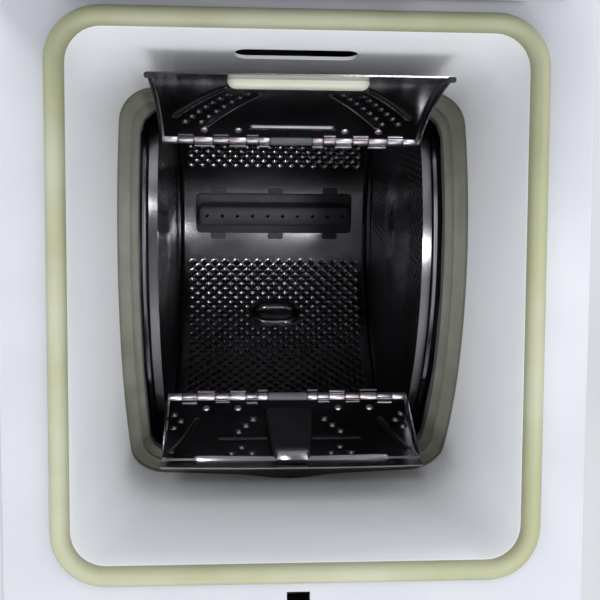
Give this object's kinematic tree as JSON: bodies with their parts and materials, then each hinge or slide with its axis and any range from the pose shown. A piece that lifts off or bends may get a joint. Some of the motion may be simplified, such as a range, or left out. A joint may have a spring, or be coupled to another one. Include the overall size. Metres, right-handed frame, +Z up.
{
  "type": "top-loading washing machine",
  "caption": "Narrow top-loading washing machine with a hinged lid and a horizontal drum closed by two hinged flaps and a sliding latch.",
  "frame": {"origin": "floor level under the middle of the cabinet", "axes": "+X to the right seen from the front, +Y to the back, +Z up"},
  "size_m": [0.4, 0.6, 1.3246],
  "materials": {
    "white_enamel": "gloss",
    "white_plastic": "satin",
    "ivory_rubber": "satin",
    "ivory_plastic": "satin",
    "grey_rubber": "matte",
    "black_rubber": "matte",
    "black_plastic": "satin",
    "grey_plastic": "satin",
    "tub_plastic": "matte",
    "stainless_steel": "satin",
    "plated_steel": "satin",
    "cast_aluminium": "satin",
    "cast_iron": "matte"
  },
  "bodies": {
    "cabinet": {"base_tray": "grey_plastic", "foot_front_left": "black_rubber", "foot_front_right": "black_rubber", "foot_rear_left": "black_rubber", "foot_rear_right": "black_rubber", "plinth": "white_plastic", "left_panel": "white_enamel", "right_panel": "white_enamel", "front_panel": "white_enamel", "rear_panel": "white_enamel", "top_surround": "white_plastic", "lid_lock": "black_plastic", "mouth_gasket": "ivory_rubber", "loading_funnel": "white_plastic", "bellows": "grey_rubber", "console_housing": "white_plastic", "console_fascia": "black_plastic", "drain_pump": "black_plastic", "sump_hose": "grey_rubber", "water_valve": "white_plastic", "left_damper": "grey_plastic", "right_damper": "grey_plastic", "left_spring": "plated_steel", "right_spring": "plated_steel"},
    "tub": {"tub_shell": "tub_plastic", "tub_left_end": "tub_plastic", "tub_right_end": "tub_plastic", "left_bearing": "plated_steel", "right_bearing": "plated_steel", "drive_motor": "cast_aluminium", "drive_belt": "black_rubber", "rear_counterweight": "cast_iron", "front_counterweight": "cast_iron", "left_damper_rod": "plated_steel", "right_damper_rod": "plated_steel"},
    "drum": {"drum_wrapper": "stainless_steel", "drum_left_end": "stainless_steel", "drum_right_end": "stainless_steel", "drum_pulley": "cast_aluminium", "bottom_lifter": "grey_plastic", "front_lifter": "grey_plastic", "rear_lifter": "grey_plastic", "rear_hinge_pin": "plated_steel", "front_hinge_pin": "plated_steel", "rear_spring_sleeve": "grey_plastic", "front_spring_sleeve": "grey_plastic"},
    "rear_door": {"rear_flap": "stainless_steel", "grip_strip": "ivory_plastic"},
    "front_door": {"front_flap": "stainless_steel", "latch_guide": "black_plastic"},
    "latch": {"latch_bolt": "plated_steel"},
    "motor_shaft": {"motor_pulley": "cast_aluminium"},
    "lid": {"lid_shell": "white_plastic", "lid_liner": "white_plastic", "detergent_tray": "white_plastic"},
    "knob": {"program_knob": "white_plastic"},
    "start": {"start_button": "white_plastic"},
    "option": {"option_button": "white_plastic"},
    "filter_flap": {"filter_door": "white_plastic"},
    "filter": {"filter_cap": "grey_plastic"}
  },
  "joints": [
    {"name": "tub_float", "type": "slide", "parent": "cabinet", "child": "tub", "axis": [0, 0, 1], "range_m": [-0.008, 0.008], "stiffness_N_per_m": 9000, "springref_m": 0.0352, "deforming": ["left_spring", "right_spring", "bellows", "sump_hose"]},
    {"name": "drum_turn", "type": "hinge", "parent": "tub", "child": "drum", "pos_m": [0.003, -0.01, 0.45], "axis": [1, 0, 0], "range_deg": [-0.9, 3.5]},
    {"name": "motor_turn", "type": "hinge", "parent": "tub", "child": "motor_shaft", "pos_m": [0.18, 0.11, 0.118], "axis": [1, 0, 0], "range_deg": [-11.5, 44]},
    {"name": "rear_flap_swing", "type": "hinge", "parent": "drum", "child": "rear_door", "pos_m": [0.003, 0.07291, 0.66453], "axis": [1, 0, 0], "range_deg": [0, 99.5], "stiffness_Nm_per_rad": 0.15, "springref_deg": -34.38},
    {"name": "front_flap_swing", "type": "hinge", "parent": "drum", "child": "front_door", "pos_m": [0.003, -0.16129, 0.62324], "axis": [-1, 0, 0], "range_deg": [0, 85.1], "stiffness_Nm_per_rad": 0.12, "springref_deg": -34.38},
    {"name": "latch_slide", "type": "slide", "parent": "front_door", "child": "latch", "axis": [0, 0.3944, -0.9189], "range_m": [0, 0.008], "stiffness_N_per_m": 300, "springref_m": -0.008},
    {"name": "lid_swing", "type": "hinge", "parent": "cabinet", "child": "lid", "pos_m": [0, 0.15795, 0.868], "axis": [1, 0, 0], "range_deg": [0, 95]},
    {"name": "knob_turn", "type": "hinge", "parent": "cabinet", "child": "knob", "pos_m": [0.12, 0.24297, 0.89635], "axis": [0, -0.2998, 0.954], "continuous": true},
    {"name": "start_press", "type": "slide", "parent": "cabinet", "child": "start", "axis": [0, 0.2998, -0.954], "range_m": [0, 0.0025], "stiffness_N_per_m": 600, "springref_m": -0.002},
    {"name": "option_press", "type": "slide", "parent": "cabinet", "child": "option", "axis": [0, 0.2998, -0.954], "range_m": [0, 0.0025], "stiffness_N_per_m": 600, "springref_m": -0.002},
    {"name": "filter_door_swing", "type": "hinge", "parent": "cabinet", "child": "filter_flap", "pos_m": [-0.1, -0.29, 0.0372], "axis": [1, 0, 0], "range_deg": [0, 90]},
    {"name": "filter_turn", "type": "hinge", "parent": "cabinet", "child": "filter", "pos_m": [-0.1, -0.2789, 0.062], "axis": [0, 1, 0], "range_deg": [0, 90]}
  ],
  "couplings": [
    {"joint": "motor_turn", "follows": "drum_turn", "ratio": 12.381}
  ]
}
